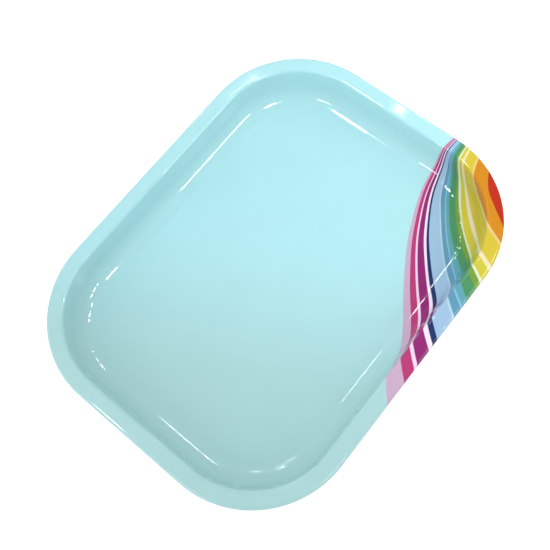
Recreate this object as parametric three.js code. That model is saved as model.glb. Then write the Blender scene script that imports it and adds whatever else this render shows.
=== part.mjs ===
// A small pressed tinplate serving tray: one drawn sheet with a flat flange,
// whose outer edge is rolled down and under over a stiffening wire.
//
// Millimetres, +Z up. X runs along the tray and Y across it. The origin is the
// centre of the footprint, on the surface that the tray stands on.

import * as THREE from "three";

// Outer size, over the rolled edge.
const LENGTH = 180;
const WIDTH = 140;
const HEIGHT = 15;
const CORNER_RADIUS = 43.5;

// The sheet. Radii are those of its printed face, the one seen from above.
const SHEET = 0.3;
const FILLET_RADIUS = 9;
const SHOULDER_RADIUS = 1.4;

// Distances inwards from the rim's outer edge.
const FLANGE_END = 5.7;
const FLOOR_INSET = 17.3;

// The rolled edge, and the wire that it is rolled round.
const CURL_RADIUS = 1.2;
const CURL_TURN = THREE.MathUtils.degToRad(288);
const WIRE_RADIUS = 0.8;

// How finely the bends are cut into flats.
const CORNER_STEPS = 12;
const FILLET_STEPS = 7;
const SHOULDER_STEPS = 4;
const CURL_STEPS = 16;
const WIRE_SIDES = 12;

const QUARTER = Math.PI / 2;

// The corners' sides of the centre, in X and Y, anticlockwise.
const CORNERS = [
  [1, 1],
  [-1, 1],
  [-1, -1],
  [1, -1],
];

// The section is drawn in a plane whose x is the distance inwards from the rim's
// outer edge, and whose y is the height.
const filletCentre = new THREE.Vector2(FLOOR_INSET, SHEET + FILLET_RADIUS);
const shoulderCentre = new THREE.Vector2(FLANGE_END, HEIGHT - SHOULDER_RADIUS);
const curlCentre = new THREE.Vector2(CURL_RADIUS, HEIGHT - CURL_RADIUS);

// The wall is the straight line that touches both bends, one from each side.
// Its slope is measured from the horizontal.
function wallSlope() {
  const run = filletCentre.x - shoulderCentre.x;
  const rise = shoulderCentre.y - filletCentre.y;
  const reach = Math.hypot(run, rise);
  return Math.atan2(rise, run) + Math.asin((FILLET_RADIUS + SHOULDER_RADIUS) / reach);
}

// Points on an arc of the section, from one angle to another, ends included.
function arc(centre, radius, from, to, steps) {
  const points = [];
  for (let step = 0; step <= steps; step++) {
    const angle = THREE.MathUtils.lerp(from, to, step / steps);
    const x = centre.x + radius * Math.cos(angle);
    const y = centre.y + radius * Math.sin(angle);
    points.push(new THREE.Vector2(x, y));
  }
  return points;
}

// One face of the sheet, from the edge of the floor to the end of the curl, at a
// depth below the printed face: 0 is the printed face, SHEET is the underside.
function sheetFace(depth) {
  const slope = wallSlope();
  const filletRadius = FILLET_RADIUS + depth;
  const shoulderRadius = SHOULDER_RADIUS - depth;
  const curlRadius = CURL_RADIUS - depth;
  return [
    ...arc(filletCentre, filletRadius, -QUARTER, -QUARTER - slope, FILLET_STEPS),
    ...arc(shoulderCentre, shoulderRadius, QUARTER - slope, QUARTER, SHOULDER_STEPS),
    ...arc(curlCentre, curlRadius, QUARTER, QUARTER + CURL_TURN, CURL_STEPS),
  ];
}

// A section point carried round the tray: a rounded rectangle parallel to the rim.
function ring(sectionPoint) {
  const radius = CORNER_RADIUS - sectionPoint.x;
  const points = [];
  CORNERS.forEach(([sideX, sideY], corner) => {
    const centreX = sideX * (LENGTH / 2 - CORNER_RADIUS);
    const centreY = sideY * (WIDTH / 2 - CORNER_RADIUS);
    for (let step = 0; step <= CORNER_STEPS; step++) {
      const angle = (corner + step / CORNER_STEPS) * QUARTER;
      const x = centreX + radius * Math.cos(angle);
      const y = centreY + radius * Math.sin(angle);
      points.push(new THREE.Vector3(x, y, sectionPoint.y));
    }
  });
  return points;
}

// A skin over a list of rings, each joined to the next. A closed section joins
// its last ring to its first. An open one starts and ends in a flat cap.
function skin(section, closed) {
  const rings = section.map(ring);
  const size = rings[0].length;
  const index = [];
  const joins = closed ? rings.length : rings.length - 1;
  for (let row = 0; row < joins; row++) {
    const here = row * size;
    const next = ((row + 1) % rings.length) * size;
    for (let i = 0; i < size; i++) {
      const j = (i + 1) % size;
      index.push(here + i, next + i, next + j);
      index.push(here + i, next + j, here + j);
    }
  }
  if (!closed) {
    const last = joins * size;
    const outline = rings[0].map((point) => new THREE.Vector2(point.x, point.y));
    for (const [a, b, c] of THREE.ShapeUtils.triangulateShape(outline, [])) {
      index.push(a, b, c);
      index.push(last + a, last + c, last + b);
    }
  }
  const geometry = new THREE.BufferGeometry().setFromPoints(rings.flat());
  geometry.setIndex(index);
  geometry.computeVertexNormals();
  return geometry;
}

// The drawn sheet: out along its printed face, and back along its underside.
function trayGeometry() {
  return skin([...sheetFace(0), ...sheetFace(SHEET).reverse()], false);
}

// The wire: a round section, carried round the tray along the middle of the curl.
function wireGeometry() {
  const circle = arc(curlCentre, WIRE_RADIUS, 0, 2 * Math.PI, WIRE_SIDES);
  return skin(circle.slice(1), true);
}

function piece(name, geometry, look) {
  const mesh = new THREE.Mesh(geometry, new THREE.MeshStandardMaterial(look));
  mesh.name = name;
  return mesh;
}

const varnishedPrint = { color: 0xb4e9ee, roughness: 0.25, metalness: 0.1 };
const bareSteel = { color: 0x9a9da0, roughness: 0.4, metalness: 1 };

const tray = new THREE.Group();
tray.add(piece("pressed_tray", trayGeometry(), varnishedPrint));
tray.add(piece("rim_wire", wireGeometry(), bareSteel));

export default tray;
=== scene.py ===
"""A small pressed tinplate serving tray, printed with a fan of colour bands.

One drawn sheet makes the floor, wall, flange and rolled edge, and a steel wire
runs inside the roll. The section's sizes are in millimetres, and the finished
meshes in metres. Z is up, X runs along the tray and Y across it.
"""

import math

import bpy
from mathutils import Matrix, Vector, noise


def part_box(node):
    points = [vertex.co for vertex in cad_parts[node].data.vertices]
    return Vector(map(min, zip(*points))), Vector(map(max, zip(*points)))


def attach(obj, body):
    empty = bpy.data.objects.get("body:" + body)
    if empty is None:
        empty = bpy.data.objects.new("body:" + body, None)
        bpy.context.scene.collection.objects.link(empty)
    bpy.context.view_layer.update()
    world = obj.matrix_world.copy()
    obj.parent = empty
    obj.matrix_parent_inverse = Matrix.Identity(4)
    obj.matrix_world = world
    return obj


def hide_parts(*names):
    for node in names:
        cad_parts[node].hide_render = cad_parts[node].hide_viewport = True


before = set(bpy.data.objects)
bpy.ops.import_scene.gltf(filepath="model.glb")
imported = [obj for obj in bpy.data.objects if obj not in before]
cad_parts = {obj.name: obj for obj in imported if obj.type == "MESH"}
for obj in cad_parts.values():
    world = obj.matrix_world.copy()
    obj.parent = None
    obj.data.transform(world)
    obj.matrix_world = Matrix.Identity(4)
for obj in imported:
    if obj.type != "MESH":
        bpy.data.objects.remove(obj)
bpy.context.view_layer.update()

MM = 0.001

# Outer size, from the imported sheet.
sheet_low, sheet_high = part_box("pressed_tray")
LENGTH = (sheet_high.x - sheet_low.x) / MM
WIDTH = (sheet_high.y - sheet_low.y) / MM
HEIGHT = sheet_high.z / MM

# The pressing, as seen from above. Insets run inwards from the outer edge.
SHEET = 0.3
CORNER_RADIUS = 43.5
FILLET_RADIUS = 9
SHOULDER_RADIUS = 1.4
FLANGE_END = 5.7
FLOOR_INSET = 17.3
CURL_RADIUS = 1.2
CURL_TURN = math.radians(288)
WIRE_RADIUS = 0.8

# How finely the pieces are divided: round the tray, over the floor, along the section
# and round the wire.
CORNER_STEPS = 96
LONG_SIDE_STEPS = 20
SHORT_SIDE_STEPS = 12
FLOOR_RINGS = 12
FILLET_STEPS = 20
WALL_STEPS = 8
SHOULDER_STEPS = 16
FLANGE_STEPS = 6
CURL_STEPS = 32
WIRE_SIDES = 20

# Narrow rows of faces beside the bends stop a bend's shading from running on over
# the flat next to it. The flange's are this wide. The floor's starts at this share
# of the floor's size.
JOINT = 0.05
FLOOR_LAST_RING = 0.999

# Edges that bend by more than this are shaded as sharp.
SHARP_ANGLE = math.radians(40)

# Puckers that the press leaves in the drawn corners, measured along the sheet's normal.
# Some corners draw more cleanly than others: the keys are the corner's sides in X and Y.
# The lengths are a pucker's own, round the corner and up the section.
PUCKER_HEIGHTS = {(1, 1): 0.02, (-1, 1): 0.10, (-1, -1): 0.03, (1, -1): 0.08}
PUCKER_LENGTH = 1.9
PUCKER_DEPTH_LENGTH = 7.0

# A pucker grows from nothing at a corner's ends, and is full where both parts of the
# way outwards, X and Y, reach this size. Up the section it grows over this distance
# from the floor, and fades out between these two distances below the wall's top.
PUCKER_FULL = 0.35
PUCKER_GROWTH = 3
PUCKER_FADE_FROM, PUCKER_FADE_TO = 6, 1

# The printed bands fan out round a point beyond the corner, in the flat blank. Their
# radii are given at these angles in degrees, and the curve nodes hold them as shares
# of the reach. A border blurs over CRISP or SOFT millimetres each way.
FAN_CENTRE = (100, -85)
FAN_REACH = 130
FAN_ANGLES = (5, 25, 45, 65, 75, 85)
QUARTER_TURN = 90
CRISP = 0.12
SOFT = 0.5

# The ground is greyer towards -X -Y: painted shade for the dimmer light on that side.
# It drifts along this way, between these two places on it, to its full tint.
GROUND_COLOUR = "ABDDE2"
PAINTED_SHADE_GROUND = "A7CFCF"
DRIFT_WAY = (0.86, 0.51)
DRIFT_FROM, DRIFT_TO = -55, 15

# Each band's colour, its outer radius at the fan's angles, and how soft that edge is.
BANDS = [
    ("C5A5C0", (61.0, 66.4, 73.0, 85.3, 96.5, 114.2), CRISP),
    ("B43672", (60.5, 65.4, 71.2, 82.0, 91.5, 105.0), CRISP),
    ("EBCCE5", (60.1, 64.2, 69.5, 79.0, 87.4, 99.2), CRISP),
    ("8D1F6D", (59.9, 63.8, 68.8, 77.9, 85.8, 97.3), CRISP),
    ("EAD9EB", (59.4, 62.6, 66.5, 73.9, 81.0, 90.5), CRISP),
    ("192B64", (59.0, 61.9, 65.4, 72.6, 78.8, 88.1), CRISP),
    ("97B7D2", (58.5, 61.2, 64.4, 70.7, 76.4, 85.2), CRISP),
    ("A9C8D9", (57.2, 58.9, 59.7, 64.6, 68.8, 75.9), CRISP),
    ("5C91AE", (56.9, 58.5, 59.1, 63.9, 67.8, 74.6), CRISP),
    ("7CB4D0", (56.5, 56.8, 57.4, 61.4, 65.0, 70.5), CRISP),
    ("5A9CA6", (56.2, 56.4, 56.9, 60.8, 64.2, 69.5), CRISP),
    ("478C5B", (55.0, 55.1, 55.4, 57.8, 61.0, 66.5), SOFT),
    ("749636", (53.5, 52.5, 52.3, 54.2, 56.6, 61.0), SOFT),
    ("D0DBBC", (52.6, 51.5, 50.5, 52.2, 54.2, 58.0), CRISP),
    ("C8BC38", (51.8, 50.3, 49.9, 51.1, 53.0, 56.7), CRISP),
    ("DED3A9", (50.4, 48.4, 46.9, 46.7, 48.3, 51.6), CRISP),
    ("CCB734", (49.3, 46.9, 45.0, 44.8, 46.2, 48.9), CRISP),
    ("DCBE7B", (44.7, 40.8, 37.4, 36.4, 37.4, 39.0), CRISP),
    ("CA8212", (43.7, 39.9, 35.6, 35.3, 36.2, 37.8), CRISP),
    ("B5280D", (37.5, 33.2, 30.0, 30.3, 31.5, 33.0), CRISP),
]

# The ink film is cloudy: the size of its clouds, as noise per millimetre, how far the
# noise runs from clear to cloudy, and how much a cloud changes the colour.
CLOUD_SCALE = 0.05
CLOUD_FROM, CLOUD_TO = 0.35, 0.7
CLOUD_DEPTH = -0.015

# The material slots of the sheet.
PRINTED, CUT_EDGE, LACQUERED = 0, 1, 2

# The camera: its place in millimetres, its turn in degrees and its lens in millimetres.
# Nothing nearer to it than the last number, in metres, is seen.
CAMERA_PLACE = (-62.9, -77.1, 295.5)
CAMERA_TURN = (18.08, 4.12, -50.92)
CAMERA_LENS = 47.86
CAMERA_CLIP = 0.01

# Lamps for the highlights: place and size in metres, and radiance. The first size
# runs along the wall that shows the lamp as a streak, which lies along X or Y.
LAMPS = [
    ("lamp_far", (0.552, 0.645, 1.250), "X", 0.10, 0.05, 70),
    ("lamp_back", (0.238, 0.672, 1.336), "X", 0.16, 0.04, 40),
    ("lamp_arc", (0.440, 0.850, 1.090), "X", 0.05, 0.08, 60),
    ("lamp_front", (0.430, -1.010, 0.970), "X", 0.26, 0.16, 24),
    ("lamp_top", (-0.080, -0.600, 1.330), "X", 0.28, 0.20, 35),
    ("lamp_near", (0.640, -0.440, 1.230), "X", 0.20, 0.16, 50),
    ("lamp_side", (-0.375, 0.445, 1.360), "Y", 0.10, 0.26, 50),
    ("lamp_side_tail", (-0.430, 0.420, 1.350), "Y", 0.16, 0.06, 12),
    ("lamp_side_low", (-0.900, 0.080, 1.120), "Y", 0.34, 0.14, 20),
    ("lamp_low", (1.081, 0.300, 0.903), "Y", 0.15, 0.04, 60),
    ("lamp_right", (0.766, 0.356, 1.286), "Y", 0.020, 0.016, 20),
    ("lamp_right_haze", (0.766, 0.356, 1.286), "Y", 0.035, 0.028, 8),
]

# The dome of light all round: its colour and strength at the horizon and overhead,
# and the height on a dome of radius 1 from which the second holds.
DOME_LOW = ("FFFCFA", 1.18)
DOME_HIGH = ("FAFDFF", 1.76)
DOME_TOP = 0.8

# How much brighter the dome is towards +X and +Y, as a share of its strength. Less
# than 0 is dimmer.
DOME_TILT = (-0.25, 0.12)

# How much of the dome shows as a sheen in the varnish.
DOME_IN_GLOSS = 0.26

# Cards beyond the corner at -X -Y, and beyond the side at +Y, hold back some of the
# dome's light there.
CARD_HALF = 0.26
CARDS = [
    ("card_left", (-0.30, -0.26, 0.20)),
    ("card_back", (0.00, 0.38, 0.20)),
]

# The paper under the tray, just below the surface that the tray stands on.
TABLE_HALF = 2.0
TABLE_HEIGHT = -0.0001
TABLE_GLOW = 0.3


def linear(code):
    """A hexadecimal sRGB colour as the linear RGBA that shader sockets take."""
    channels = [int(code[i : i + 2], 16) / 255 for i in (0, 2, 4)]
    return [c / 12.92 if c <= 0.04045 else ((c + 0.055) / 1.055) ** 2.4 for c in channels] + [1]


def light_colour(code, strength):
    """A colour of light at a given strength."""
    return [channel * strength for channel in linear(code)[:3]] + [1]


class Chain:
    """A node tree, with short ways to add nodes and join them."""

    def __init__(self, owner, shader):
        owner.use_nodes = True
        self.owner = owner
        self.tree = owner.node_tree
        self.shader = self.tree.nodes[shader]

    def set(self, name, value):
        self.feed(self.shader.inputs[name], value)

    def feed(self, socket, value):
        if isinstance(value, bpy.types.NodeSocket):
            self.tree.links.new(value, socket)
        else:
            socket.default_value = value

    def add(self, kind, inputs=(), **settings):
        node = self.tree.nodes.new(kind)
        for name, value in settings.items():
            setattr(node, name, value)
        for key, value in dict(inputs).items():
            self.feed(node.inputs[key], value)
        return node

    def math(self, operation, *values):
        node = self.add("ShaderNodeMath", enumerate(values), operation=operation)
        return node.outputs[0]

    def scale(self, vector, amount):
        inputs = {0: vector, "Scale": amount}
        return self.add("ShaderNodeVectorMath", inputs, operation="SCALE").outputs["Vector"]

    def mix(self, amount, first, second):
        node = self.add("ShaderNodeMix", data_type="RGBA")
        self.feed(node.inputs["Factor"], amount)
        self.feed(node.inputs["A"], first)
        self.feed(node.inputs["B"], second)
        return node.outputs["Result"]

    def noise(self, place, scale, detail=3.0):
        inputs = {"Vector": place, "Scale": scale, "Detail": detail}
        return self.add("ShaderNodeTexNoise", inputs).outputs["Fac"]

    def between(self, value, low, high, smooth=True):
        """0 up to the low value, 1 from the high one, and rising between."""
        kind = "SMOOTHSTEP" if smooth else "LINEAR"
        inputs = {"Value": value, "From Min": low, "From Max": high}
        return self.add("ShaderNodeMapRange", inputs, interpolation_type=kind).outputs[0]

    def bump(self, height, strength, distance):
        inputs = {"Height": height, "Strength": strength, "Distance": distance}
        return self.add("ShaderNodeBump", inputs).outputs["Normal"]


# Materials. Noise scales are per metre, except the ink's clouds and the stretched grain.


def material_chain(name):
    return Chain(bpy.data.materials.new(name), "Principled BSDF")


def solid_place(chain):
    """Places in the object itself, in metres."""
    return chain.add("ShaderNodeTexCoord").outputs["Object"]


def printed_colour(chain):
    """The flat print: a ground with painted shade towards -X -Y, and bands that follow curves round
    the fan's centre.
    """
    blank = chain.add("ShaderNodeUVMap", uv_map="blank").outputs["UV"]
    place = chain.scale(blank, 1 / MM)
    split = chain.add("ShaderNodeSeparateXYZ", {0: place})
    across = chain.math("SUBTRACT", FAN_CENTRE[0], split.outputs["X"])
    up = chain.math("SUBTRACT", split.outputs["Y"], FAN_CENTRE[1])
    across_squared = chain.math("POWER", across, 2)
    reach = chain.math("SQRT", chain.math("MULTIPLY_ADD", up, up, across_squared))
    quarters = chain.math("DIVIDE", chain.math("ARCTAN2", across, up), math.pi / 2)
    colour = mottled(chain, ground_colour(chain, place), place)
    for code, radii, softness in BANDS:
        edge = band_edge(chain, quarters, radii)
        depth = chain.math("SUBTRACT", edge, reach)
        inside = chain.between(depth, -softness, softness)
        colour = chain.mix(inside, colour, linear(code))
    return colour


def ground_colour(chain, place):
    """The turquoise ground, with painted shade greying it towards -X -Y, by the place in the blank
    in millimetres.
    """
    inputs = {0: place, 1: (*DRIFT_WAY, 0)}
    way = chain.add("ShaderNodeVectorMath", inputs, operation="DOT_PRODUCT")
    share = chain.between(way.outputs["Value"], DRIFT_FROM, DRIFT_TO)
    # Painted shade: towards -X -Y the ground mixes into a greyer tint.
    return chain.mix(share, linear(PAINTED_SHADE_GROUND), linear(GROUND_COLOUR))


def band_edge(chain, quarters, radii):
    """A band's outer radius in millimetres, by the quarter turns a point lies round the fan."""
    node = chain.add("ShaderNodeFloatCurve", {"Value": quarters})
    curve = node.mapping.curves[0]
    knots = [(angle / QUARTER_TURN, radius / FAN_REACH) for angle, radius in zip(FAN_ANGLES, radii)]
    # It doesn't matter where a new point lands, because each is then put on its knot.
    while len(curve.points) < len(knots):
        curve.points.new(0.5, 0.5)
    for point, knot in zip(curve.points, knots):
        point.location = knot
    node.mapping.update()
    return chain.math("MULTIPLY", node.outputs["Value"], FAN_REACH)


def mottled(chain, colour, place):
    """A colour with the faint cloudiness of a litho ink film, a few centimetres across."""
    cloud = chain.between(chain.noise(place, CLOUD_SCALE), CLOUD_FROM, CLOUD_TO)
    return chain.scale(colour, chain.math("MULTIPLY_ADD", cloud, CLOUD_DEPTH, 1.0))


def printed_face():
    """Varnished ink over tinplate, with orange peel and fine rubs."""
    chain = material_chain("printed_face")
    solid = solid_place(chain)
    chain.set("Base Color", printed_colour(chain))
    # Rubs take the roughness from 0 to 0.45.
    rubs = chain.noise(solid, scale=220, detail=5)
    chain.set("Roughness", chain.between(rubs, 0, 2.2, smooth=False))
    # The slow ripple is four times as deep as the peel.
    peel = chain.noise(solid, scale=650, detail=2)
    ripple = chain.noise(solid, scale=90, detail=1)
    height = chain.math("MULTIPLY_ADD", ripple, 4.0, peel)
    normal = chain.bump(height, strength=0.15, distance=0.000004)
    chain.set("Normal", normal)
    chain.set("Coat Normal", normal)
    chain.set("Specular IOR Level", 0.03)
    chain.set("Coat Weight", 0.8)
    chain.set("Coat Roughness", 0.04)
    return chain.owner


def lacquered_underside():
    """Tinplate under a thin pale lacquer: rolling grain one way, and light scuffs."""
    chain = material_chain("lacquered_underside")
    solid = solid_place(chain)
    stretch = chain.add("ShaderNodeMapping", {"Vector": solid, "Scale": (60, 2400, 60)})
    grain = chain.noise(stretch.outputs["Vector"], scale=1.0, detail=4)
    scuffs = chain.noise(solid, scale=35, detail=6)
    tone = chain.mix(chain.between(scuffs, 0.4, 0.65), linear("C5C8C9"), linear("BFC1C1"))
    chain.set("Base Color", tone)
    chain.set("Roughness", chain.math("MULTIPLY_ADD", grain, 0.18, 0.22))
    chain.set("Normal", chain.bump(grain, strength=0.3, distance=0.00001))
    chain.set("Metallic", 0.4)
    return chain.owner


def drawn_steel(name):
    """Bare steel with faint dull patches."""
    chain = material_chain(name)
    patches = chain.noise(solid_place(chain), scale=300, detail=4)
    tone = chain.mix(chain.between(patches, 0.4, 0.7), linear("9C9FA2"), linear("7B7975"))
    chain.set("Base Color", tone)
    chain.set("Roughness", chain.math("MULTIPLY_ADD", patches, 0.3, 0.25))
    chain.set("Normal", chain.bump(patches, strength=0.3, distance=0.00001))
    chain.set("Metallic", 1.0)
    return chain.owner


def matt_paper(name, light, dark, glow=0):
    """A sheet of uncoated paper or card, which may be lit a little from below."""
    chain = material_chain(name)
    fibre = chain.noise(solid_place(chain), scale=900, detail=3)
    chain.set("Base Color", chain.mix(fibre, linear(light), linear(dark)))
    chain.set("Roughness", 0.9)
    chain.set("Emission Color", linear(light))
    chain.set("Emission Strength", glow)
    return chain.owner


# The sheet's shape


def walls():
    """The wall's slope from the horizontal, and its straight length."""
    run = FLOOR_INSET - FLANGE_END
    rise = (HEIGHT - SHOULDER_RADIUS) - (SHEET + FILLET_RADIUS)
    reach = math.hypot(run, rise)
    bends = FILLET_RADIUS + SHOULDER_RADIUS
    return math.atan2(rise, run) + math.asin(bends / reach), math.sqrt(reach**2 - bends**2)


def section():
    """The printed face from the floor's edge to the end of the curl.

    Each row is (inset, height, lean, travel): the lean of its normal from the
    vertical, towards the middle of the tray, and the way walked from the floor.
    """
    slope, wall = walls()
    # Each leg's length, how far it turns, and its steps.
    legs = [
        (FILLET_RADIUS * slope, slope, FILLET_STEPS),
        (wall, 0, WALL_STEPS),
        (SHOULDER_RADIUS * slope, -slope, SHOULDER_STEPS),
        (JOINT, 0, 1),
        (FLANGE_END - CURL_RADIUS - 2 * JOINT, 0, FLANGE_STEPS),
        (JOINT, 0, 1),
        (CURL_RADIUS * CURL_TURN, -CURL_TURN, CURL_STEPS),
    ]
    inset, height, lean, travel = FLOOR_INSET, SHEET, 0.0, 0.0
    rows = [(inset, height, lean, travel)]
    for length, turn, steps in legs:
        half = turn / steps / 2
        chord = length / steps * (math.sin(half) / half if half else 1)
        for _ in range(steps):
            lean += half
            inset -= chord * math.cos(lean)
            height += chord * math.sin(lean)
            lean += half
            travel += length / steps
            rows.append((inset, height, lean, travel))
    return rows


def stations():
    """Where the section stands round the tray: an anchor point, and the way outwards."""
    half_x = LENGTH / 2 - CORNER_RADIUS
    half_y = WIDTH / 2 - CORNER_RADIUS
    anchors = [Vector((half_x, half_y)), Vector((-half_x, half_y))]
    anchors += [-anchors[0], -anchors[1]]
    found = []
    for corner, anchor in enumerate(anchors):
        for step in range(CORNER_STEPS):
            angle = (corner + step / CORNER_STEPS) * math.pi / 2
            found.append((anchor, Vector((math.cos(angle), math.sin(angle)))))
        following = anchors[(corner + 1) % 4]
        side_steps = LONG_SIDE_STEPS if corner % 2 == 0 else SHORT_SIDE_STEPS
        angle = (corner + 1) * math.pi / 2
        for step in range(side_steps):
            point = anchor.lerp(following, step / side_steps)
            found.append((point, Vector((math.cos(angle), math.sin(angle)))))
    return found


def fade(value, start, end):
    """0 before start, 1 after end, and smooth between."""
    share = min(max((value - start) / (end - start), 0), 1)
    return share * share * (3 - 2 * share)


def pucker(anchor, outwards, travel):
    """How far a corner's fillet or wall is off its true shape, in millimetres."""
    slope, wall = walls()
    wall_top = FILLET_RADIUS * slope + wall
    around = anchor + outwards * CORNER_RADIUS
    corner = (math.copysign(1, anchor.x), math.copysign(1, anchor.y))
    in_corner = fade(min(abs(outwards.x), abs(outwards.y)), 0, PUCKER_FULL)
    ending = fade(travel, wall_top - PUCKER_FADE_FROM, wall_top - PUCKER_FADE_TO)
    on_bend = fade(travel, 0, PUCKER_GROWTH) * (1 - ending)
    depth = travel / PUCKER_DEPTH_LENGTH
    spot = Vector((around.x / PUCKER_LENGTH, around.y / PUCKER_LENGTH, depth))
    return PUCKER_HEIGHTS[corner] * in_corner * on_bend * noise.noise(spot)


def floor_ring(spots, share, depth):
    """A ring of the flat floor at a share of its size: each point, and its place in the blank."""
    ring = []
    for anchor, outwards in spots:
        flat = (anchor + outwards * (CORNER_RADIUS - FLOOR_INSET)) * share
        ring.append((Vector((flat.x, flat.y, SHEET - depth)) * MM, flat * MM))
    return ring


def bent_ring(spots, row, depth):
    """A row of the section, carried round: each point, and its place in the blank."""
    inset, height, lean, travel = row
    ring = []
    for anchor, outwards in spots:
        lift = pucker(anchor, outwards, travel) - depth
        flat = anchor + outwards * (CORNER_RADIUS - inset - lift * math.sin(lean))
        point = Vector((flat.x, flat.y, height + lift * math.cos(lean))) * MM
        ring.append((point, (anchor + outwards * (CORNER_RADIUS - FLOOR_INSET + travel)) * MM))
    return ring


def sheet_rings():
    """The sheet's rings, out over its printed face and back over its underside."""
    spots = stations()
    rows = section()
    shares = [ring / FLOOR_RINGS for ring in range(1, FLOOR_RINGS)] + [FLOOR_LAST_RING]
    rings = [floor_ring(spots, share, 0) for share in shares]
    rings += [bent_ring(spots, row, 0) for row in rows]
    rings += [bent_ring(spots, row, SHEET) for row in reversed(rows)]
    rings += [floor_ring(spots, share, SHEET) for share in reversed(shares)]
    return rings


def tray_mesh():
    """Both faces of the sheet as one closed skin: points, faces, slots and places in the blank."""
    rings = sheet_rings()
    middle = Vector((0, 0))
    spots = [(Vector((0, 0, SHEET)) * MM, middle)]
    for ring in rings:
        spots += ring
    spots.append((Vector((0, 0, 0)), middle))
    size = len(rings[0])
    last_ring = 1 + (len(rings) - 1) * size
    last = len(spots) - 1
    faces = []
    for i in range(size):
        j = (i + 1) % size
        faces.append((0, 1 + i, 1 + j))
        for here in range(1, last_ring, size):
            faces.append((here + i, here + size + i, here + size + j, here + j))
        faces.append((last_ring + i, last, last_ring + j))
    half = len(rings) // 2
    slots = ([PRINTED] * half + [CUT_EDGE] + [LACQUERED] * half) * size
    points, blank = zip(*spots)
    return points, faces, slots, blank


def wire_mesh():
    """A round wire, carried round the tray along the middle of the curl."""
    points, faces = [], []
    spots = stations()
    for anchor, outwards in spots:
        for side in range(WIRE_SIDES):
            angle = 2 * math.pi * side / WIRE_SIDES
            inset = CURL_RADIUS + WIRE_RADIUS * math.cos(angle)
            height = HEIGHT - CURL_RADIUS + WIRE_RADIUS * math.sin(angle)
            flat = anchor + outwards * (CORNER_RADIUS - inset)
            points.append(Vector((flat.x, flat.y, height)) * MM)
    for i in range(len(spots)):
        here, following = i * WIRE_SIDES, (i + 1) % len(spots) * WIRE_SIDES
        for side in range(WIRE_SIDES):
            beside = (side + 1) % WIRE_SIDES
            faces.append((here + side, here + beside, following + beside, following + side))
    return points, faces


# Pieces


def piece(name, points, faces, materials):
    """A mesh as a named object in the scene, with a slot for each material."""
    mesh = bpy.data.meshes.new(name)
    mesh.from_pydata(points, [], faces)
    for material in materials:
        mesh.materials.append(material)
    mesh.shade_smooth()
    mesh.set_sharp_from_angle(angle=SHARP_ANGLE)
    thing = bpy.data.objects.new(name, mesh)
    bpy.context.scene.collection.objects.link(thing)
    return thing


def drawn_sheet():
    """The sheet, with a material for each slot and the flat blank as its UV map."""
    points, faces, slots, blank = tray_mesh()
    materials = [printed_face(), drawn_steel("cut_edge"), lacquered_underside()]
    sheet = piece("drawn_sheet", points, faces, materials)
    sheet.data.polygons.foreach_set("material_index", slots)
    uv_map = sheet.data.uv_layers.new(name="blank")
    for loop in sheet.data.loops:
        uv_map.data[loop.index].uv = blank[loop.vertex_index]
    return sheet


def level_square(name, place, half, material):
    """A flat square, facing up, with its middle at a place. It doesn't show in reflections."""
    x, y, z = place
    sides = ((-1, -1), (1, -1), (1, 1), (-1, 1))
    corners = [(x + i * half, y + j * half, z) for i, j in sides]
    square = piece(name, corners, [(0, 1, 2, 3)], [material])
    square.visible_glossy = False
    return square


# Light and camera


def studio_dome():
    """The light all round, which is held back in reflections."""
    world = bpy.data.worlds.new("studio")
    dome = Chain(world, "Background")
    aim = dome.add("ShaderNodeTexCoord").outputs["Generated"]
    split = dome.add("ShaderNodeSeparateXYZ", {0: aim}).outputs
    climb = dome.between(split["Z"], 0.0, DOME_TOP, smooth=False)
    dome.set("Color", dome.mix(climb, light_colour(*DOME_LOW), light_colour(*DOME_HIGH)))
    mirrored = dome.add("ShaderNodeLightPath").outputs["Is Glossy Ray"]
    dimming = dome.math("MULTIPLY_ADD", mirrored, DOME_IN_GLOSS - 1, 1.0)
    tilt = dome.math("MULTIPLY_ADD", split["X"], DOME_TILT[0], 1.0)
    tilt = dome.math("MULTIPLY_ADD", split["Y"], DOME_TILT[1], tilt)
    dome.set("Strength", dome.math("MULTIPLY", dimming, tilt))
    return world


def lamp(name, place, axis, length, depth, radiance):
    """An area light that shows only as a highlight, its length along one axis of the tray."""
    light = bpy.data.lights.new(name, "AREA")
    light.shape = "RECTANGLE"
    light.size = length
    light.size_y = depth
    light.energy = radiance * math.pi * length * depth
    light.use_shadow = False
    holder = bpy.data.objects.new(name, light)
    holder.location = place
    holder.visible_diffuse = False
    away = Vector(place).normalized()
    along = Vector((1, 0, 0)) if axis == "X" else Vector((0, 1, 0))
    across = away.cross(along).normalized()
    facing = Matrix((across.cross(away), across, away)).transposed()
    holder.rotation_euler = facing.to_euler()
    bpy.context.scene.collection.objects.link(holder)


def studio_camera():
    """The camera, which looks down on the tray from one side."""
    data = bpy.data.cameras.new("camera")
    data.lens = CAMERA_LENS
    data.clip_start = CAMERA_CLIP
    camera = bpy.data.objects.new("camera", data)
    camera.location = Vector(CAMERA_PLACE) * MM
    camera.rotation_euler = [math.radians(angle) for angle in CAMERA_TURN]
    bpy.context.scene.collection.objects.link(camera)
    return camera


# The tray

tray = drawn_sheet()
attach(tray, "root")
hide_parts("pressed_tray")

wire = piece("stiffening_wire", *wire_mesh(), [drawn_steel("drawn_wire")])
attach(wire, "root")
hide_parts("rim_wire")

# The floor, light and camera

paper = matt_paper("white_paper", "FFFFFF", "FAFAFA", TABLE_GLOW)
table = level_square("table", (0, 0, TABLE_HEIGHT), TABLE_HALF, paper)

for card_name, card_place in CARDS:
    grey = matt_paper("grey_card", "B4B4B4", "AEAEAE")
    card = level_square(card_name, card_place, CARD_HALF, grey)
    card.visible_camera = False

for settings in LAMPS:
    lamp(*settings)

scene = bpy.context.scene
scene.view_settings.view_transform = "Standard"
scene.world = studio_dome()
scene.camera = studio_camera()
